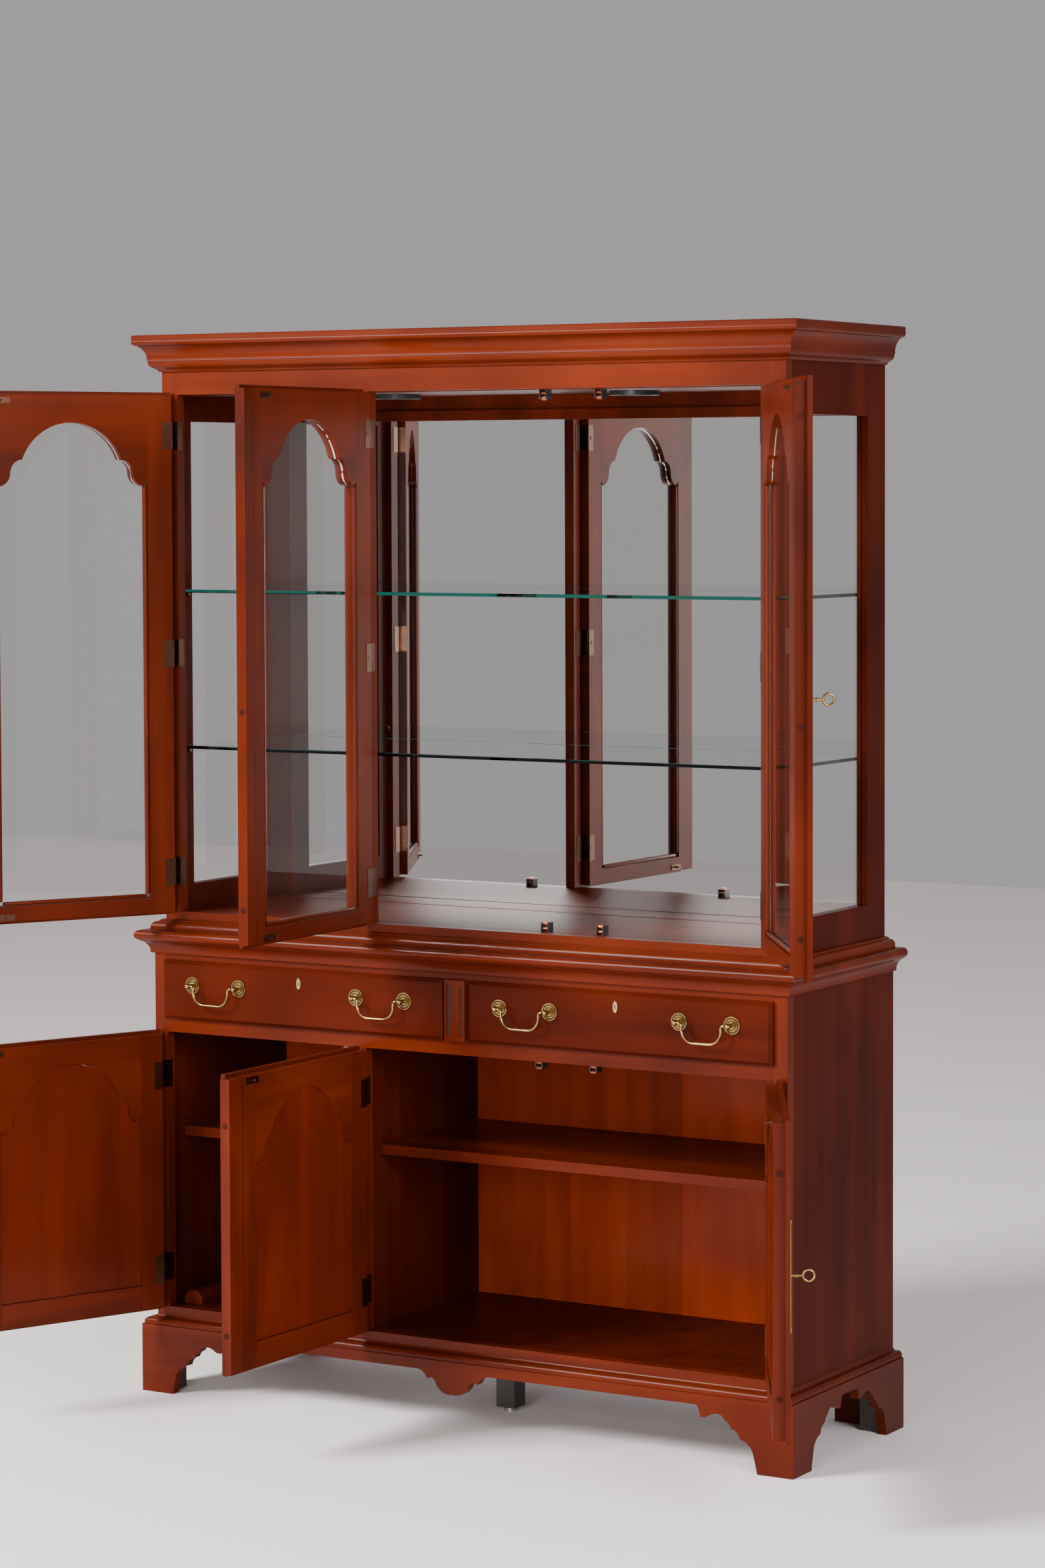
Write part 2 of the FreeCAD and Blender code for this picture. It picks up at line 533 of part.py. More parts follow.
leaves = []
for name, kind, hand, pin_x, width, angle, meet in DOORS:
    pin_y = kind["face"] - VALUE["pin_front"]
    near = VALUE["pin_in"]
    for z in kind["hinges"]:
        low, high = z - HINGE_TALL / 2, z + HINGE_TALL / 2
        for z_low, z_high in ((low, z - 8.5), (z + 8.5, high)):
            leaves.append(rod((pin_x, depth(pin_y), z_low), (0, 0, 1), BARREL_R, z_high - z_low))
            leaves.append(board(span(hand, pin_x, -2.4, -0.6), (pin_y + 2.6, pin_y + 3.7), (z_low, z_high)))
        leaves.append(board(span(hand, pin_x, -2.4, near + LEAF), (pin_y + 3.7, pin_y + 4.5), (low, high)))
        leaves.append(board(span(hand, pin_x, near, near + LEAF), (pin_y + 4.5, pin_y + 18.5), (low, high)))
node("frame_hinges", leaves)

# ---------------------------------------------------------------- drawers and their pulls
FRONT_FACE = -12.0
BEVEL = 6.0
DRAWERS = [("left", -632.6, -25.0, -621.0, -36.5, (-512.3, -153.5)),
           ("right", 28.0, 632.6, 39.5, 621.0, (147.25, 507.1))]
SPACING = 51.1
for name, x_low, x_high, box_low, box_high, pulls in DRAWERS:
    z_low, z_high = 695.0, 803.0
    bevel = doc.addObject("Part::Wedge", "Bevel")
    bevel.Xmin, bevel.Xmax, bevel.Zmin, bevel.Zmax = 0, x_high - x_low, 0, z_high - z_low
    bevel.Ymin, bevel.Ymax = 0, 5.5
    bevel.X2min, bevel.X2max = BEVEL, x_high - x_low - BEVEL
    bevel.Z2min, bevel.Z2max = BEVEL, z_high - z_low - BEVEL
    bevel.Placement = Placement(Vector(x_high, depth(FRONT_FACE + 5.5), z_low), Rotation(Vector(0, 0, 1), 180))
    face_board = board((x_low, x_high), (FRONT_FACE + 5.5, -0.6), (z_low, z_high))
    inner_low, inner_high = 702.5, 790.0
    wall = 12.0
    rear = 360.0
    node(f"drawer_{name}", [
        bevel, face_board,
        board((box_low, box_high), (-0.6, 18), (inner_low, inner_high)),
        board((box_low, box_low + wall), (18, rear), (inner_low, inner_high)),
        board((box_high - wall, box_high), (18, rear), (inner_low, inner_high)),
        board((box_low + wall, box_high - wall), (rear - wall, rear), (inner_low, inner_high)),
        board((box_low + wall, box_high - wall), (18, rear - wall), (inner_low + 3, inner_low + 9)),
    ])
    roses = []
    for x in pulls:
        for side in (-SPACING, SPACING):
            roses.append(rod((x + side, depth(FRONT_FACE), 760), (0, -1, 0), 15.3, 2.0))
            roses.append(rod((x + side, depth(FRONT_FACE - 2), 760), (0, -1, 0), 9.5, 1.5))
            roses.append(rod((x + side, depth(FRONT_FACE - 3.5), 760), (0, -1, 0), 4.2, 9.0))
            roses.append(ball((x + side, depth(FRONT_FACE - 17.3), 760), 5.2))
    node(f"roses_{name}", roses)
    for index, x in enumerate(pulls, 1):
        y = depth(FRONT_FACE - 17.3)
        reach = SPACING - 6.0
        path = [Part.makeLine(Vector(x - reach, y, 760), Vector(x - reach + 3, y, 760)),
                Part.Arc(Vector(x - reach + 3, y, 760), Vector(x - reach + 6.5, y, 757.5),
                         Vector(x - reach + 7, y, 753)).toShape(),
                Part.Arc(Vector(x - reach + 7, y, 753), Vector(x - reach + 15, y, 733),
                         Vector(x - reach + 31, y, 727)).toShape(),
                Part.makeLine(Vector(x - reach + 31, y, 727), Vector(x + reach - 31, y, 727)),
                Part.Arc(Vector(x + reach - 31, y, 727), Vector(x + reach - 15, y, 733),
                         Vector(x + reach - 7, y, 753)).toShape(),
                Part.Arc(Vector(x + reach - 7, y, 753), Vector(x + reach - 6.5, y, 757.5),
                         Vector(x + reach - 3, y, 760)).toShape(),
                Part.makeLine(Vector(x + reach - 3, y, 760), Vector(x + reach, y, 760))]
        node(f"bail_{name}_{index}", [solid(capsule_bar(path, 2.4), "Bail")])

# ---------------------------------------------------------------- check and write
doc.recompute()
for item in doc.Objects:
    if "Invalid" in item.State or "Error" in item.State:
        raise RuntimeError(f"{item.Name} ({item.Label}) did not build: {item.State}")
    if hasattr(item, "Shape") and (item.Shape.isNull() or not item.Shape.isValid()):
        raise RuntimeError(f"{item.Name} ({item.Label}) has a bad shape")
os.makedirs("parts", exist_ok=True)
for item in nodes:
    item.Shape.exportStep(f"parts/{item.Label}.step")
print(len(nodes), "sub-parts written")
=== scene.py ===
import math
import bpy
from mathutils import Matrix, Vector


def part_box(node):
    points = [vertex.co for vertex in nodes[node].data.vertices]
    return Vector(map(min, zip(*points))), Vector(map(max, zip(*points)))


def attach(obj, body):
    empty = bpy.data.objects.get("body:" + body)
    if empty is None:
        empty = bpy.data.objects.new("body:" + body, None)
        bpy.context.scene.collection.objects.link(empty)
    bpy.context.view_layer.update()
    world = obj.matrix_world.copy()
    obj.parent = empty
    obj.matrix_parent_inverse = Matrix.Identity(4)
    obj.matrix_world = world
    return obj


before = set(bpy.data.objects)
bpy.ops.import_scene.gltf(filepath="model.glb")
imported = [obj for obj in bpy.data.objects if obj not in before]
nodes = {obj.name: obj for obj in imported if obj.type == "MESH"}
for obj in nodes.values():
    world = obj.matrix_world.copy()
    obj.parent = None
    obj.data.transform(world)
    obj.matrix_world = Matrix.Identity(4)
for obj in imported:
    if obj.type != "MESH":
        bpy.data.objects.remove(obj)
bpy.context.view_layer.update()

FRONT = -0.178                       # face of the base, along Y

# ---------------------------------------------------------------- finishes
CHERRY_DARK = (0.030, 0.0030, 0.0007, 1)
CHERRY_MID = (0.080, 0.0088, 0.0014, 1)
CHERRY_LIGHT = (0.145, 0.0180, 0.0027, 1)
DEEP_DARK = (0.020, 0.0018, 0.0005, 1)
DEEP_MID = (0.052, 0.0052, 0.0009, 1)
DEEP_LIGHT = (0.092, 0.0105, 0.0018, 1)
PANEL_DARK = (0.055, 0.0058, 0.0010, 1)
PANEL_MID = (0.096, 0.0098, 0.0017, 1)
PANEL_LIGHT = (0.148, 0.0170, 0.0030, 1)
INNER_DARK = (0.150, 0.0145, 0.0024, 1)
INNER_MID = (0.245, 0.0270, 0.0046, 1)
INNER_LIGHT = (0.335, 0.0440, 0.0082, 1)
PALE_DARK = (0.30, 0.17, 0.08, 1)
PALE_MID = (0.48, 0.31, 0.16, 1)
PALE_LIGHT = (0.60, 0.42, 0.24, 1)


def node_group(name, outputs):
    """A shader group with one Scale input and the named outputs."""
    group = bpy.data.node_groups.new(name, "ShaderNodeTree")
    group.interface.new_socket("Scale", in_out="INPUT", socket_type="NodeSocketVector")
    for label, kind in outputs:
        group.interface.new_socket(label, in_out="OUTPUT", socket_type=kind)
    return group


def grain_group():
    """Long streaks, fine pores and broad cloudy figure, as two masks and a height."""
    group = node_group("Grain", [("Figure", "NodeSocketFloat"), ("Pores", "NodeSocketFloat"),
                                 ("Height", "NodeSocketFloat")])
    new, link = group.nodes.new, group.links.new
    source = new("NodeGroupInput")
    sink = new("NodeGroupOutput")
    coords = new("ShaderNodeTexCoord")
    stretch = new("ShaderNodeVectorMath")
    stretch.operation = "MULTIPLY"
    link(coords.outputs["Object"], stretch.inputs[0])
    link(source.outputs["Scale"], stretch.inputs[1])
    figure = new("ShaderNodeTexNoise")
    figure.inputs["Scale"].default_value = 0.5
    figure.inputs["Detail"].default_value = 5
    figure.inputs["Distortion"].default_value = 0.9
    link(stretch.outputs[0], figure.inputs["Vector"])
    pores = new("ShaderNodeTexNoise")
    pores.inputs["Scale"].default_value = 1.6
    pores.inputs["Detail"].default_value = 3
    pores.inputs["Roughness"].default_value = 0.65
    link(stretch.outputs[0], pores.inputs["Vector"])
    cloud = new("ShaderNodeTexNoise")
    cloud.inputs["Scale"].default_value = 3.0
    cloud.inputs["Detail"].default_value = 2
    link(coords.outputs["Object"], cloud.inputs["Vector"])
    blend = new("ShaderNodeMath")
    blend.operation = "MULTIPLY_ADD"
    blend.inputs[1].default_value = 0.45
    link(cloud.outputs["Fac"], blend.inputs[0])
    half = new("ShaderNodeMath")
    half.operation = "MULTIPLY"
    half.inputs[1].default_value = 0.55
    link(figure.outputs["Fac"], half.inputs[0])
    link(half.outputs[0], blend.inputs[2])
    link(blend.outputs[0], sink.inputs["Figure"])
    link(pores.outputs["Fac"], sink.inputs["Pores"])
    link(pores.outputs["Fac"], sink.inputs["Height"])
    return group


GRAIN = grain_group()
# How fast the grain changes along X, Y and Z: least along the length of the board.
UPRIGHT = (20, 20, 1.8)
ACROSS = (1.8, 20, 20)
LEVEL = (1.8, 1.8, 20)
SEAM_HALF = 0.0007                   # half the width of the line where two boards meet
SEAM_DARK = (0.012, 0.002, 0.0006, 1)


def step(mat, value, edge, above=True):
    """1 where a value is past an edge, else 0."""
    node = mat.node_tree.nodes.new("ShaderNodeMath")
    node.operation = "GREATER_THAN" if above else "LESS_THAN"
    mat.node_tree.links.new(value, node.inputs[0])
    node.inputs[1].default_value = edge
    return node.outputs[0]


def combine(mat, first, second, how):
    """Two masks joined by an operation."""
    node = mat.node_tree.nodes.new("ShaderNodeMath")
    node.operation = how
    mat.node_tree.links.new(first, node.inputs[0])
    mat.node_tree.links.new(second, node.inputs[1])
    return node.outputs[0]


def distance(mat, origin, along):
    """How far a point lies from an origin along a direction in plan."""
    new, link = mat.node_tree.nodes.new, mat.node_tree.links.new
    coords = new("ShaderNodeTexCoord")
    flat = new("ShaderNodeVectorMath")
    flat.operation = "SUBTRACT"
    link(coords.outputs["Object"], flat.inputs[0])
    flat.inputs[1].default_value = (*origin, 0)
    dot = new("ShaderNodeVectorMath")
    dot.operation = "DOT_PRODUCT"
    link(flat.outputs[0], dot.inputs[0])
    dot.inputs[1].default_value = (*along, 0)
    return dot.outputs["Value"]


def rail_scale(mat, direction, rails):
    """The grain scale of a framed piece: level on its rails, along its stiles elsewhere."""
    low, high, origin, along, near, far = rails
    new, link = mat.node_tree.nodes.new, mat.node_tree.links.new
    coords = new("ShaderNodeTexCoord")
    split = new("ShaderNodeSeparateXYZ")
    link(coords.outputs["Object"], split.inputs[0])
    reach = distance(mat, origin, along)
    inside = combine(mat, step(mat, reach, near), step(mat, reach, far, False), "MULTIPLY")
    ends = combine(mat, step(mat, split.outputs["Z"], low, False), step(mat, split.outputs["Z"], high), "ADD")
    mask = combine(mat, inside, ends, "MULTIPLY")
    mix = new("ShaderNodeMix")
    mix.data_type = "VECTOR"
    link(mask, mix.inputs["Factor"])
    vectors = [socket for socket in mix.inputs if socket.type == "VECTOR" and socket.name in "AB"]
    vectors[0].default_value = direction
    vectors[1].default_value = LEVEL
    return [socket for socket in mix.outputs if socket.type == "VECTOR"][0]


def material(name):
    """A new material and its main shader."""
    mat = bpy.data.materials.new(name)
    mat.use_nodes = True
    return mat, mat.node_tree.nodes["Principled BSDF"]


def wood(name, direction, dark, mid, light, rough=0.30, coat=0.03, strips=0.0, rails=None,
         shine=0.085, seam=None):
    """Polished timber with its grain along one direction.

    strips adds a change of tone every so far. rails turns the grain level in part of a frame: it holds the
    height of the bottom rail's top, the height of the top rail's foot, a point and direction in plan, and
    the distances along that direction between which the rails lie. seam is where, along it, two boards meet.
    """
    mat, shader = material(name)
    new, link = mat.node_tree.nodes.new, mat.node_tree.links.new
    grain = new("ShaderNodeGroup")
    grain.node_tree = GRAIN
    grain.inputs["Scale"].default_value = direction
    if rails:
        link(rail_scale(mat, direction, rails), grain.inputs["Scale"])
    ramp = new("ShaderNodeValToRGB")
    ramp.color_ramp.elements[0].position = 0.28
    ramp.color_ramp.elements[0].color = dark
    ramp.color_ramp.elements[1].position = 0.74
    ramp.color_ramp.elements[1].color = light
    centre = ramp.color_ramp.elements.new(0.5)
    centre.color = mid
    link(grain.outputs["Figure"], ramp.inputs["Fac"])
    shade = new("ShaderNodeMix")
    shade.data_type = "RGBA"
    shade.blend_type = "MULTIPLY"
    pore_ramp = new("ShaderNodeMapRange")
    pore_ramp.inputs["From Min"].default_value = 0.35
    pore_ramp.inputs["From Max"].default_value = 0.6
    pore_ramp.inputs["To Min"].default_value = 0.22
    pore_ramp.inputs["To Max"].default_value = 0.0
    link(grain.outputs["Pores"], pore_ramp.inputs["Value"])
    link(pore_ramp.outputs["Result"], shade.inputs["Factor"])
    link(ramp.outputs["Color"], shade.inputs["A"])
    shade.inputs["B"].default_value = (0.45, 0.36, 0.30, 1)
    colour = shade.outputs["Result"]
    if seam:
        joint = new("ShaderNodeMix")
        joint.data_type = "RGBA"
        reach = distance(mat, rails[2], rails[3])
        narrow = combine(mat, step(mat, reach, seam - SEAM_HALF), step(mat, reach, seam + SEAM_HALF, False),
                         "MULTIPLY")
        link(narrow, joint.inputs["Factor"])
        link(colour, joint.inputs["A"])
        joint.inputs["B"].default_value = SEAM_DARK
        colour = joint.outputs["Result"]
    if strips:
        coords = new("ShaderNodeTexCoord")
        split = new("ShaderNodeSeparateXYZ")
        link(coords.outputs["Object"], split.inputs[0])
        scale = new("ShaderNodeMath")
        scale.operation = "DIVIDE"
        scale.inputs[1].default_value = strips
        link(split.outputs["X"], scale.inputs[0])
        floor = new("ShaderNodeMath")
        floor.operation = "FLOOR"
        link(scale.outputs[0], floor.inputs[0])
        random = new("ShaderNodeTexWhiteNoise")
        random.noise_dimensions = "1D"
        link(floor.outputs[0], random.inputs["W"])
        tone = new("ShaderNodeMapRange")
        tone.inputs["To Min"].default_value = 0.72
        tone.inputs["To Max"].default_value = 1.12
        link(random.outputs["Value"], tone.inputs["Value"])
        bright = new("ShaderNodeHueSaturation")
        link(tone.outputs["Result"], bright.inputs["Value"])
        link(colour, bright.inputs["Color"])
        colour = bright.outputs["Color"]
    link(colour, shader.inputs["Base Color"])
    rough_map = new("ShaderNodeMapRange")
    rough_map.inputs["To Min"].default_value = rough + 0.08
    rough_map.inputs["To Max"].default_value = rough - 0.05
    link(grain.outputs["Pores"], rough_map.inputs["Value"])
    link(rough_map.outputs["Result"], shader.inputs["Roughness"])
    bump = new("ShaderNodeBump")
    bump.inputs["Strength"].default_value = 0.12
    bump.inputs["Distance"].default_value = 0.0004
    link(grain.outputs["Height"], bump.inputs["Height"])
    link(bump.outputs["Normal"], shader.inputs["Normal"])
    shader.inputs["Coat Weight"].default_value = coat
    shader.inputs["Coat Roughness"].default_value = 0.1
    shader.inputs["Specular IOR Level"].default_value = shine
    return mat


def metal(name, colour, worn, rough, scale=60.0, metallic=1.0):
    """Metal or plastic whose tone and polish wander over its surface."""
    mat, shader = material(name)
    new, link = mat.node_tree.nodes.new, mat.node_tree.links.new
    coords = new("ShaderNodeTexCoord")
    noise = new("ShaderNodeTexNoise")
    noise.inputs["Scale"].default_value = scale
    noise.inputs["Detail"].default_value = 4
    link(coords.outputs["Object"], noise.inputs["Vector"])
    mix = new("ShaderNodeMix")
    mix.data_type = "RGBA"
    mix.inputs["A"].default_value = (*colour, 1)
    mix.inputs["B"].default_value = (*worn, 1)
    link(noise.outputs["Fac"], mix.inputs["Factor"])
    link(mix.outputs["Result"], shader.inputs["Base Color"])
    spread = new("ShaderNodeMapRange")
    spread.inputs["To Min"].default_value = rough * 0.7
    spread.inputs["To Max"].default_value = rough * 1.35
    link(noise.outputs["Fac"], spread.inputs["Value"])
    link(spread.outputs["Result"], shader.inputs["Roughness"])
    shader.inputs["Metallic"].default_value = metallic
    return mat


def clear(name, tint):
    """Glass, faintly uneven in tint."""
    mat, shader = material(name)
    new, link = mat.node_tree.nodes.new, mat.node_tree.links.new
    coords = new("ShaderNodeTexCoord")
    noise = new("ShaderNodeTexNoise")
    noise.inputs["Scale"].default_value = 2.0
    link(coords.outputs["Object"], noise.inputs["Vector"])
    mix = new("ShaderNodeMix")
    mix.data_type = "RGBA"
    mix.inputs["A"].default_value = (*tint, 1)
    mix.inputs["B"].default_value = (*[min(1.0, v * 1.02) for v in tint], 1)
    link(noise.outputs["Fac"], mix.inputs["Factor"])
    link(mix.outputs["Result"], shader.inputs["Base Color"])
    shader.inputs["Metallic"].default_value = 0.0
    shader.inputs["Transmission Weight"].default_value = 1.0
    shader.inputs["Roughness"].default_value = 0.0
    shader.inputs["IOR"].default_value = 1.45
    return mat


CHERRY = (CHERRY_DARK, CHERRY_MID, CHERRY_LIGHT)
DEEP = (DEEP_DARK, DEEP_MID, DEEP_LIGHT)
INNER = (INNER_DARK, INNER_MID, INNER_LIGHT)
PANEL = (PANEL_DARK, PANEL_MID, PANEL_LIGHT)
PALE = (PALE_DARK, PALE_MID, PALE_LIGHT)
FINISH = {
    "cherry_up": wood("cherry_up", UPRIGHT, *CHERRY),
    "cherry_level": wood("cherry_level", LEVEL, *CHERRY),
    "drawer_face": wood("drawer_face", LEVEL, *DEEP, coat=0.01, shine=0.05),
    "side_up": wood("side_up", UPRIGHT, *DEEP, coat=0.01, shine=0.04),
    "cherry_across": wood("cherry_across", ACROSS, *CHERRY),
    "inner_up": wood("inner_up", UPRIGHT, *PANEL),
    "inner_back": wood("inner_back", UPRIGHT, *INNER, strips=0.118),
    "deck_top": wood("deck_top", ACROSS, *CHERRY, rough=0.3, coat=0.0, shine=0.025),
    "pale": wood("pale_wood", ACROSS, *PALE, rough=0.5, coat=0.0),
    "black": metal("black_stain", (0.012, 0.010, 0.009), (0.035, 0.028, 0.022), 0.45, 30, 0.0),
    "plastic": metal("black_plastic", (0.010, 0.010, 0.011), (0.022, 0.022, 0.024), 0.38, 90, 0.0),
    "brass": metal("aged_brass", (0.44, 0.29, 0.10), (0.17, 0.10, 0.032), 0.24, 35),
    # painted shade: dark metal standing for the shade in the turned grooves of the pull backplates
    "groove_shade": metal("painted_groove_shade", (0.060, 0.036, 0.014), (0.030, 0.018, 0.008), 0.45),
    "bronze": metal("antique_bronze", (0.17, 0.075, 0.045), (0.07, 0.032, 0.02), 0.3),
    "nickel": metal("nickel", (0.62, 0.60, 0.56), (0.45, 0.43, 0.40), 0.25),
    "copper": metal("copper_roller", (0.42, 0.12, 0.060), (0.24, 0.065, 0.035), 0.35),
    "glass": clear("clear_glass", (0.965, 0.985, 0.975)),
    "shelf_glass": clear("shelf_glass", (0.86, 0.95, 0.92)),
    "lens": metal("lens", (0.62, 0.62, 0.60), (0.72, 0.72, 0.70), 0.3, 40, 0.0),
    "mirror": metal("mirror_silver", (0.86, 0.87, 0.86), (0.89, 0.90, 0.89), 0.004, 3),
    "inlay": metal("inlay_brass", (0.62, 0.44, 0.20), (0.42, 0.28, 0.12), 0.3),
    "plug": wood("plug_wood", LEVEL, CHERRY_DARK, CHERRY_DARK, CHERRY_MID, rough=0.5, coat=0.0),
    # painted shade: near-black standing for the shade inside holes, keyhole slots and flute grooves
    "painted_recess_shade": metal("painted_recess_shade", (0.010, 0.004, 0.002), (0.02, 0.008, 0.004), 0.8, 60, 0.0),
}


def edge_tint(mat, limit, colour):
    """Colour the faces of a pane nearest the front, where its body tint shows."""
    shader = mat.node_tree.nodes["Principled BSDF"]
    new, link = mat.node_tree.nodes.new, mat.node_tree.links.new
    plain = shader.inputs["Base Color"].links[0].from_socket
    coords = new("ShaderNodeTexCoord")
    split = new("ShaderNodeSeparateXYZ")
    link(coords.outputs["Object"], split.inputs[0])
    mix = new("ShaderNodeMix")
    mix.data_type = "RGBA"
    link(step(mat, split.outputs["Y"], limit, False), mix.inputs["Factor"])
    link(plain, mix.inputs["A"])
    mix.inputs["B"].default_value = colour
    link(mix.outputs["Result"], shader.inputs["Base Color"])


SHELF_EDGE = FRONT + 0.0455          # just behind the front edge of the glass shelves
EDGE_GREEN = (0.03, 0.42, 0.33, 1)
edge_tint(FINISH["shelf_glass"], SHELF_EDGE, EDGE_GREEN)

DOOR_WIDTH = {"door_left": 0.397, "door_centre": 0.3981, "door_right": 0.3981,
              "cupboard_left": 0.4088, "cupboard_centre": 0.4088, "cupboard_right": 0.4088}
EDGE = 0.0117                        # from a hinge pin to the near edge of its door
# name: pin in plan, hinge side, open angle, the heights between the rails, and where the rails start and stop
DOOR_FRAMES = {
    "door_left": (-0.6215, -0.1636, 1, 119.0, 0.921, 1.684, 0.0577, 0.3547),
    "door_centre": (-0.2001, -0.1636, 1, 88.6, 0.921, 1.684, 0.0577, 0.3558),
    "door_right": (0.6215, -0.1636, -1, 125.5, 0.921, 1.684, 0.0577, 0.3558),
    "cupboard_left": (-0.6405, -0.1825, 1, 114.0, 0.205, 0.520, 0.0567, 0.3445),
    "cupboard_centre": (-0.2025, -0.1825, 1, 91.0, 0.205, 0.520, 0.0567, 0.3445),
    "cupboard_right": (0.6405, -0.1825, -1, 119.5, 0.205, 0.520, 0.0567, 0.3445),
}
for name, (pin_x, pin_y, hand, angle, low, high, near, far) in DOOR_FRAMES.items():
    along = (hand * math.cos(math.radians(angle)), -math.sin(math.radians(angle)))
    edge_strip = 0.026 if name.startswith("door") else 0.038
    FINISH[name + "_wood"] = wood(name + "_wood", UPRIGHT, *CHERRY,
                                  rails=(low, high, (pin_x, pin_y), along, near, far),
                                  seam=EDGE + DOOR_WIDTH[name] - edge_strip)
# The two face frames: the heights between their rails, and half the width between their posts.
for name, low, high, half in (("case_face", 0.8908, 1.8416, 0.612), ("base_face", 0.158, 0.6695, 0.631)):
    FINISH[name] = wood(name, UPRIGHT, *CHERRY, rails=(low, high, (0, 0), (1, 0), -half, half))

LOOK = {
    "centre_leg": "black", "foot_blocks": "black", "leg_glide": "nickel",
    "apron": "cherry_level", "bracket_feet": "cherry_level", "base_moulding": "cherry_level",
    "base_case": "side_up", "base_back": "inner_back", "base_frame": "base_face",
    "flute_block": "cherry_up", "drawer_runners": "pale", "base_top": "cherry_across",
    "base_shelves": "cherry_across", "loose_rail": "cherry_across", "waist_moulding": "cherry_level",
    "deck": "deck_top", "upper_frame": "case_face", "side_frames": "side_up",
    "side_glass": "glass", "mirror": "mirror", "upper_back": "cherry_up", "ceiling": "cherry_across",
    "crown": "cherry_level", "glass_shelves": "shelf_glass", "shelf_pins": "brass",
    "puck_rings": "plastic", "puck_lenses": "lens", "catches": "plastic", "catch_rollers": "copper",
    "frame_hinges": "bronze",
}
ENDINGS = {"_glass": "glass", "_panel": "inner_up", "_fittings": "bronze", "_escutcheon": "brass",
           "_frame": "cherry_up"}
STARTS = {"roses_": "brass", "bail_": "brass", "key_": "brass", "drawer_": "drawer_face"}


def paint(obj, finish):
    """Give every material slot of an object one finish."""
    if not obj.material_slots:
        obj.data.materials.append(FINISH[finish])
    for place in obj.material_slots:
        place.material = FINISH[finish]


for name, obj in nodes.items():
    look = LOOK.get(name)
    if name.endswith("_frame") and name[:-6] in DOOR_FRAMES:
        look = name[:-6] + "_wood"
    for start, finish in STARTS.items():
        if look is None and name.startswith(start):
            look = finish
    for ending, finish in ENDINGS.items():
        if look is None and name.endswith(ending):
            look = finish
    paint(obj, look)

# ---------------------------------------------------------------- small turned and applied pieces
MM = 0.001


def only(obj):
    """Make one object the only selected and active one."""
    bpy.ops.object.select_all(action="DESELECT")
    obj.select_set(True)
    bpy.context.view_layer.objects.active = obj


def turned(name, radius, height, dish, soften=0.25, stretch=1.0, sides=24):
    """A round button standing on the plane z = 0, its face dished or raised, its rim softened."""
    bpy.ops.object.select_all(action="DESELECT")
    bpy.ops.mesh.primitive_cylinder_add(vertices=sides, radius=radius, depth=height,
                                        location=(0, 0, height / 2))
    obj = bpy.context.active_object
    obj.name = name
    bpy.ops.object.transform_apply(location=True, rotation=True, scale=True)
    for face in obj.data.polygons:
        face.select = face.normal.z > 0.9
    bpy.context.tool_settings.mesh_select_mode = (False, False, True)
    bpy.ops.object.mode_set(mode="EDIT")
    bpy.ops.mesh.inset(thickness=radius * 0.35)
    bpy.ops.transform.translate(value=(0, 0, dish))
    bpy.ops.mesh.inset(thickness=radius * 0.3)
    bpy.ops.mesh.select_all(action="SELECT")
    bpy.ops.transform.resize(value=(1, stretch, 1))
    bpy.ops.object.mode_set(mode="OBJECT")
    bevel = obj.modifiers.new("soften", "BEVEL")
    bevel.width = min(radius, height) * soften
    bevel.segments = 2
    bevel.limit_method = "ANGLE"
    bpy.ops.object.modifier_apply(modifier="soften")
    bpy.ops.object.shade_smooth_by_angle(angle=math.radians(35))
    return obj


def strip(name, length, width, thick):
    """A rounded strip lying along z, its flat back on the plane y = 0."""
    bpy.ops.object.select_all(action="DESELECT")
    bpy.ops.mesh.primitive_cube_add(size=1, location=(0, thick / 2, 0))
    obj = bpy.context.active_object
    obj.name = name
    obj.scale = (width, thick, length)
    bpy.ops.object.transform_apply(location=True, rotation=True, scale=True)
    for edge in obj.data.edges:
        ends = [obj.data.vertices[i].co for i in edge.vertices]
        edge.select = abs(ends[0].z - ends[1].z) > length / 2 and min(end.y for end in ends) > thick / 2
    bpy.context.tool_settings.mesh_select_mode = (False, True, False)
    bpy.ops.object.mode_set(mode="EDIT")
    bpy.ops.mesh.bevel(offset=min(width / 2, thick) * 0.8, segments=5)
    bpy.ops.object.mode_set(mode="OBJECT")
    bpy.ops.object.shade_smooth_by_angle(angle=math.radians(35))
    return obj


def scatter(name, master, places, body, finish):
    """Copies of a master at the given places, joined to one piece that rides on a body."""
    copies = []
    for place in places:
        mesh = master.data.copy()
        mesh.transform(place)
        copy = bpy.data.objects.new(name, mesh)
        bpy.context.scene.collection.objects.link(copy)
        copies.append(copy)
    only(copies[0])
    for copy in copies:
        copy.select_set(True)
    if len(copies) > 1:
        bpy.ops.object.join()
    joined = bpy.context.active_object
    joined.name = name
    paint(joined, finish)
    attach(joined, body)
    return joined


def drop(obj):
    """Take a master away once its copies are made."""
    bpy.data.objects.remove(obj, do_unlink=True)


def facing(at, outward, spin=0.0):
    """The place of a button at a point, its face turned outward."""
    turn = Vector(outward).to_track_quat("Z", "Y").to_matrix().to_4x4()
    return Matrix.Translation(at) @ turn @ Matrix.Rotation(spin, 4, "Z")


def door_place(name):
    """The place of a door's own axes: along the door from the pin, and back through its thickness."""
    pin_x, pin_y, hand, angle = DOOR_FRAMES[name][:4]
    return Matrix.Translation((pin_x, pin_y, 0)) @ Matrix.Rotation(math.radians(-hand * angle), 4, "Z")


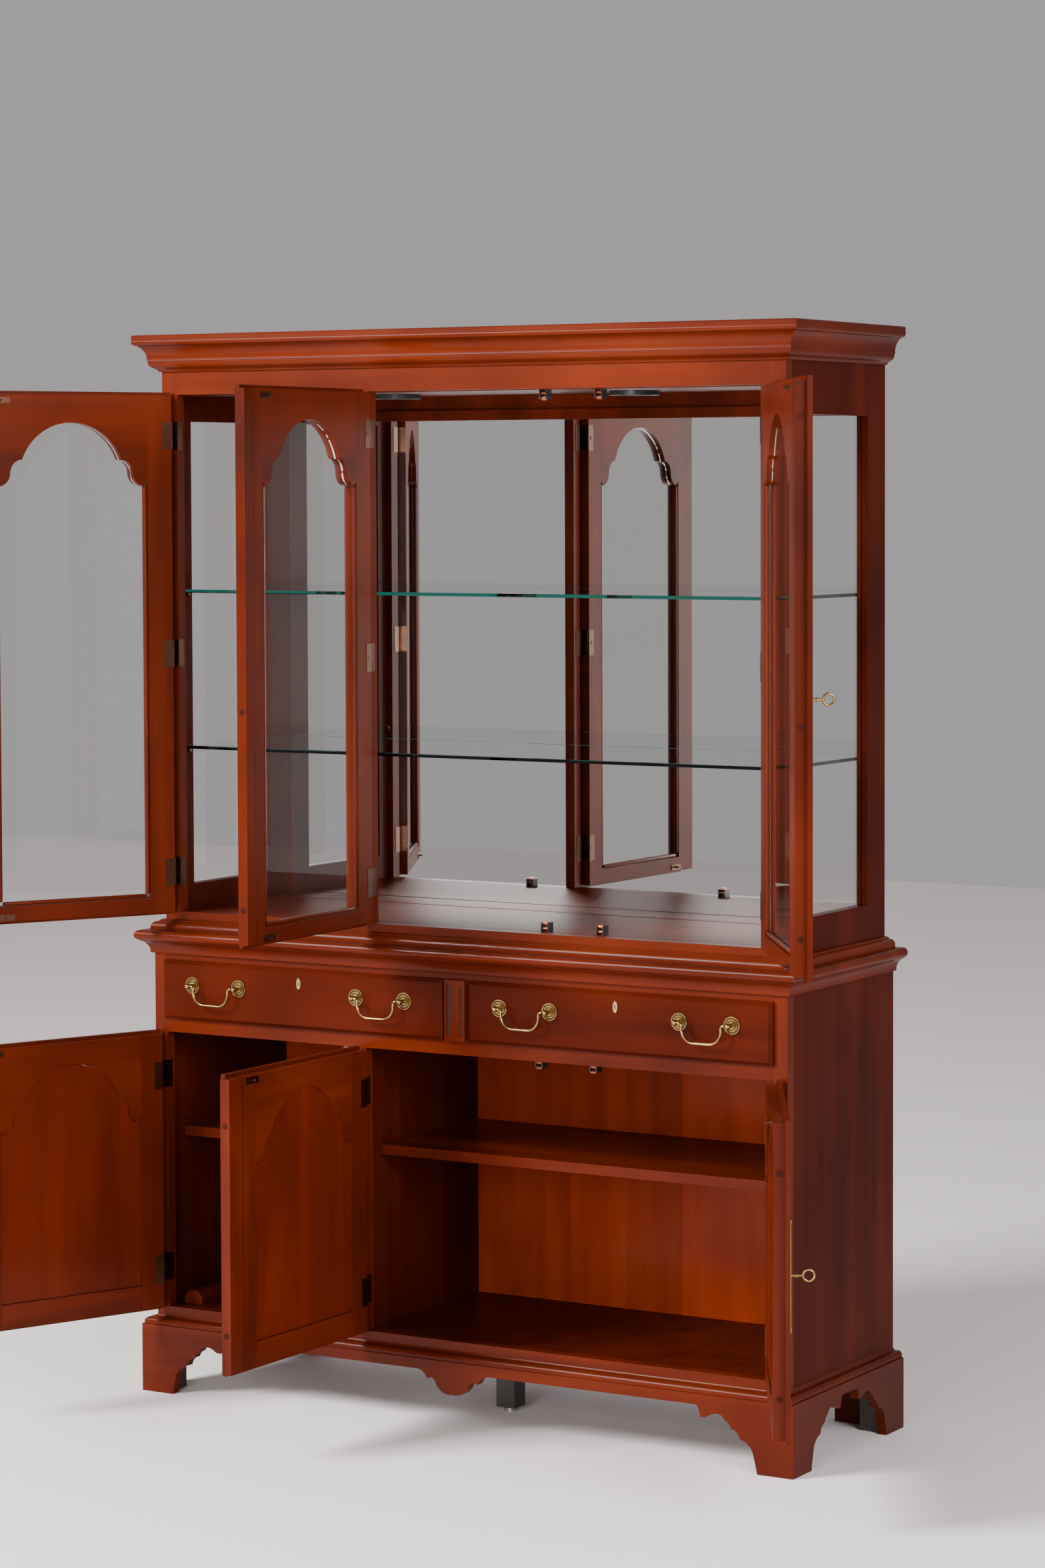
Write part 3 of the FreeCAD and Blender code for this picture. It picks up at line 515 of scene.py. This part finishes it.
UPPER_HINGES = (1.766, 1.368, 0.966)
LOWER_HINGES = (0.591, 0.233)
SCREW_LIFT = 0.016                   # of a hinge screw above or below the middle of its leaf
screw = turned("screw", 2.9 * MM, 1.0 * MM, -0.4 * MM)
flush_screw = turned("flush_screw", 2.9 * MM, 0.3 * MM, -0.1 * MM)
plug = turned("plug", 5.2 * MM, 0.7 * MM, 0.0)
# a near-black disc of painted shade for a spare shelf-pin hole
hole_shade = turned("hole_shade", 2.4 * MM, 0.35 * MM, -0.1 * MM, sides=16)
frame_screws = []
for name, data in DOOR_FRAMES.items():
    pin_x, pin_y, hand = data[:3]
    upper = name.startswith("door")
    here = door_place(name)
    for z in UPPER_HINGES if upper else LOWER_HINGES:
        for lift in (-SCREW_LIFT, SCREW_LIFT):
            at = (pin_x + hand * 0.0103, pin_y + 0.0115, z + lift)
            frame_screws.append(facing(at, (hand, 0, 0)))
    levels = (1.782, 1.291, 0.953) if upper else (0.587, 0.227)
    end = EDGE + DOOR_WIDTH[name]
    plugs = [here @ facing((hand * end, 0.0118, z), (hand, 0, 0)) for z in levels]
    scatter(name + "_plugs", plug, plugs, name, "plug")
scatter("hinge_screws", flush_screw, frame_screws, "case", "bronze")

# beads that hold the door panes, on the inner face
BEAD_LOW = 0.9285
BEAD_TALL = 0.745
BEAD_BACK = 0.0125                   # behind the pin, where the panes end
BEAD_IN = 0.0042                     # from the edge of the opening to the middle of a bead
side_bead = strip("side_bead", BEAD_TALL, 7.5 * MM, 8.0 * MM)
foot_bead = strip("foot_bead", 0.280, 7.0 * MM, 8.0 * MM)
for name in ("door_left", "door_centre", "door_right"):
    pin_x, pin_y, hand, angle, low, high, near, far = DOOR_FRAMES[name]
    here = door_place(name)
    sides = [here @ Matrix.Translation((hand * u, BEAD_BACK, BEAD_LOW + BEAD_TALL / 2))
             for u in (near + BEAD_IN, far - BEAD_IN)]
    scatter(name + "_beads", side_bead, sides, name, "cherry_up")
    across = (Matrix.Translation((hand * (near + far) / 2, BEAD_BACK, low + BEAD_IN))
              @ Matrix.Rotation(math.pi / 2, 4, "Y"))
    scatter(name + "_foot_bead", foot_bead, [here @ across], name, "cherry_level")
drop(side_bead)
drop(foot_bead)

# spare holes for the shelf pins: near-black discs of painted shade standing for the shaded insides of the
# holes
spare = []
for level in (1.190, 1.484):
    for lift in (-0.072, -0.036, 0.036, 0.072):
        for side in (-1, 1):
            for y in (0.054, 0.368):
                spare.append(facing((side * 0.622, FRONT + y, level + lift), (-side, 0, 0)))
for z in (0.378, 0.414, 0.450, 0.504, 0.540):
    for x, way in ((-0.6375, 1), (-0.218, -1), (-0.202, 1), (0.6375, -1)):
        for y in (0.080, 0.345):
            spare.append(facing((x, FRONT + y, z), (way, 0, 0)))
scatter("spare_hole_shades", hole_shade, spare, "case", "painted_recess_shade")

# keyhole inlays on the drawers, each with its slot as a near-black disc of painted shade
oval = turned("oval", 4.4 * MM, 0.8 * MM, 0.0, stretch=2.3)
slot_shade = turned("slot_shade", 1.3 * MM, 1.0 * MM, -0.1 * MM, stretch=3.0, sides=16)
for side, x in (("left", -0.3295), ("right", 0.3295)):
    at = Vector((x, FRONT - 0.012, 0.777))
    scatter("keyhole_" + side, oval, [facing(at, (0, -1, 0))], "drawer_" + side, "inlay")
    scatter("keyhole_slot_shade_" + side, slot_shade, [facing(at, (0, -1, 0))], "drawer_" + side, "painted_recess_shade")
drop(oval)
drop(slot_shade)

# painted shade: dark rings laid in the turned grooves of the backplates, and strips of painted shadow in the
# beds of the flutes
shade_rings = []
for major, minor in ((12.4, 1.2), (7.8, 0.9)):
    bpy.ops.object.select_all(action="DESELECT")
    bpy.ops.mesh.primitive_torus_add(major_radius=major * MM, minor_radius=minor * MM, major_segments=40,
                                     minor_segments=8, location=(0, 0, 0))
    ring = bpy.context.active_object
    bpy.ops.object.mode_set(mode="EDIT")
    bpy.ops.mesh.select_all(action="SELECT")
    bpy.ops.transform.resize(value=(1, 1, 0.5))
    bpy.ops.object.mode_set(mode="OBJECT")
    bpy.ops.object.shade_smooth_by_angle(angle=math.radians(60))
    shade_rings.append(ring)
PULL_HEIGHT = 0.760
POST_SPREAD = 0.0511                 # of a pull's two posts either side of its middle
PLATE_FACE = FRONT - 0.0141          # where the rings stand on the backplates
COLLAR_FACE = FRONT - 0.0156
for side in ("left", "right"):
    posts = []
    for number in (1, 2):
        low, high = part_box(f"bail_{side}_{number}")
        middle = (low[0] + high[0]) / 2
        posts += [middle - POST_SPREAD, middle + POST_SPREAD]
    outer = [facing((x, PLATE_FACE, PULL_HEIGHT), (0, -1, 0)) for x in posts]
    inner = [facing((x, COLLAR_FACE, PULL_HEIGHT), (0, -1, 0)) for x in posts]
    scatter("rose_ring_shade_" + side, shade_rings[0], outer, "drawer_" + side, "groove_shade")
    scatter("rose_collar_shade_" + side, shade_rings[1], inner, "drawer_" + side, "groove_shade")
for ring in shade_rings:
    drop(ring)
# painted shadow: thin near-black strips laid in the bottoms of the two flutes
flute_shadow = strip("flute_shadow", 0.084, 4.2 * MM, 0.9 * MM)
flute_shadow_places = [Matrix.Translation((x, FRONT - 0.0061, 0.749)) @ Matrix.Rotation(math.pi, 4, "Z")
        for x in (-0.012, 0.014)]
scatter("flute_shadows", flute_shadow, flute_shadow_places, "case", "painted_recess_shade")
drop(flute_shadow)

# domed screws in the escutcheons
for name, levels in (("door_right", (1.252, 1.411)), ("cupboard_right", (0.336, 0.508))):
    here = door_place(name)
    key_u = -(EDGE + DOOR_WIDTH[name] - 0.013)
    at = [here @ facing((key_u, -0.0078, z), (0, -1, 0)) for z in levels]
    scatter(name + "_plate_screws", screw, at, name, "brass")
for master in (screw, flush_screw, plug, hole_shade):
    drop(master)

# ---------------------------------------------------------------- stage


def stage_plane(name, corners, colour, rough):
    """A flat panel under the cabinet."""
    mesh = bpy.data.meshes.new(name)
    mesh.from_pydata(corners, [], [(0, 1, 2, 3)])
    panel = bpy.data.objects.new(name, mesh)
    bpy.context.scene.collection.objects.link(panel)
    mat, shader = material(name)
    shader.inputs["Base Color"].default_value = (*colour, 1)
    shader.inputs["Roughness"].default_value = rough
    panel.data.materials.append(mat)


stage_plane("floor", [(-9, -9, 0), (9, -9, 0), (9, 9, 0), (-9, 9, 0)], (0.96, 0.88, 0.88), 0.6)


def lamp(name, at, target, size, power):
    """A soft square light aimed at a point."""
    data = bpy.data.lights.new(name, "AREA")
    data.shape = "SQUARE"
    data.size = size
    data.energy = power
    obj = bpy.data.objects.new(name, data)
    bpy.context.scene.collection.objects.link(obj)
    obj.location = at
    obj.rotation_euler = (Vector(target) - Vector(at)).to_track_quat("-Z", "Y").to_euler()


lamp("key", (-3.4, -4.8, 4.4), (0, 0, 1.0), 2.2, 960)
lamp("fill", (5.4, -3.0, 3.0), (0, 0, 0.9), 2.4, 330)
lamp("low_front", (1.2, -5.6, 1.4), (0, 0, 0.6), 2.2, 200)
world = bpy.data.worlds.new("studio")
bpy.context.scene.world = world
world.use_nodes = True
world.node_tree.nodes["Background"].inputs["Color"].default_value = (0.50, 0.475, 0.48, 1)
world.node_tree.nodes["Background"].inputs["Strength"].default_value = 0.8

# ---------------------------------------------------------------- camera
CAMERA_AT = (3.7023, -5.866 + FRONT, 1.6696)
YAW, PITCH, ROLL = 0.52129, -0.04817, 0.00246
camera = bpy.data.objects.new("camera", bpy.data.cameras.new("camera"))
bpy.context.scene.collection.objects.link(camera)
camera.data.sensor_width = 36
camera.data.sensor_fit = "AUTO"
camera.data.lens = 90.64
camera.data.shift_x = -0.0620
camera.data.shift_y = -0.0677
turn = (Matrix.Rotation(YAW, 4, "Z") @ Matrix.Rotation(PITCH, 4, "X")
        @ Matrix.Rotation(ROLL, 4, "Y") @ Matrix.Rotation(math.pi / 2, 4, "X"))
camera.matrix_world = Matrix.Translation(CAMERA_AT) @ turn
bpy.context.scene.camera = camera
